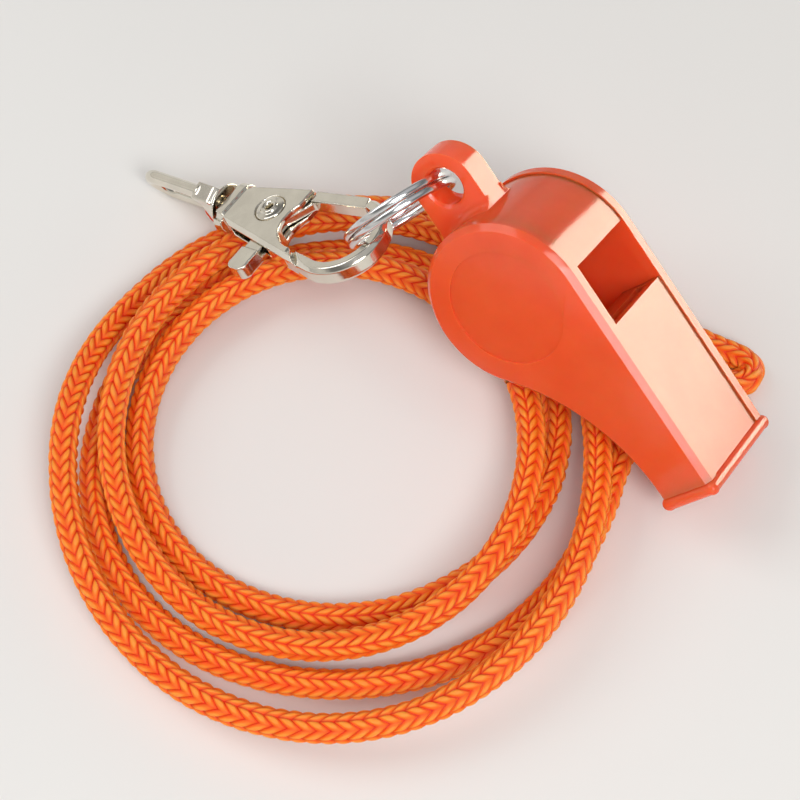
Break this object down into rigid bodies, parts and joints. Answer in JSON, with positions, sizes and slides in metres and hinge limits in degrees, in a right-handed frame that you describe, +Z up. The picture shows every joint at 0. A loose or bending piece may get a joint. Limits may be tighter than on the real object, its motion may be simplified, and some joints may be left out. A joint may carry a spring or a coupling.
{
  "type": "dog whistle",
  "caption": "Glossy plastic round-chamber dog whistle on a split ring and swivel trigger clasp, with a knitted neck lanyard lying wound in loops beneath it.",
  "frame": {"origin": "on the resting surface, below the middle of the box of the whistle, ring and clasp", "axes": "+Z up; +X to the right and +Y away from the viewer, as the whistle lies on its lanyard"},
  "size_m": [0.0993, 0.0909, 0.035],
  "materials": {
    "whistle_plastic": "glossy moulded",
    "cork": "raw cork",
    "ring_steel": "bright drawn wire",
    "clasp_nickel": "nickel plated",
    "spring_steel": "plain wire",
    "knitted_cord": "knitted"
  },
  "bodies": {
    "lanyard": {"swivel_eye": "clasp_nickel", "cord_lead": "knitted_cord", "cord_coil": "knitted_cord", "cord_sleeve": "knitted_cord", "eye_loop": "knitted_cord"},
    "clasp": {"clasp_frame": "clasp_nickel", "trigger_rivet": "clasp_nickel", "trigger_spring": "spring_steel"},
    "trigger": {"trigger": "clasp_nickel"},
    "ring": {"split_ring": "ring_steel"},
    "whistle": {"near_cheek": "whistle_plastic", "centre_body": "whistle_plastic", "far_cheek": "whistle_plastic"},
    "pea": {"pea": "cork"}
  },
  "joints": [
    {"name": "clasp_swivel", "type": "hinge", "parent": "lanyard", "child": "clasp", "pos_m": [-0.02464, 0.01385, 0.01365], "axis": [0.6929, -0.5551, 0.4602], "range_deg": [0, 14]},
    {"name": "trigger_pivot", "type": "hinge", "parent": "clasp", "child": "trigger", "pos_m": [-0.02428, 0.01434, 0.01369], "axis": [-0.4071, 0.2256, 0.8851], "range_deg": [-12, 0], "stiffness_Nm_per_rad": 0.02, "springref_deg": 11.46},
    {"name": "ring_turn", "type": "hinge", "parent": "clasp", "child": "ring", "pos_m": [-0.00675, 0.009, 0.02315], "axis": [-0.5329, 0.7555, 0.3811], "continuous": true},
    {"name": "whistle_swing", "type": "hinge", "parent": "clasp", "child": "whistle", "pos_m": [0.00022, 0.01036, 0.028], "axis": [-0.4918, -0.7949, 0.3552], "range_deg": [0, 85]},
    {"name": "pea_orbit", "type": "hinge", "parent": "whistle", "child": "pea", "pos_m": [0.01175, -0.0001, 0.02055], "axis": [0.4918, 0.7949, -0.3552], "continuous": true}
  ]
}
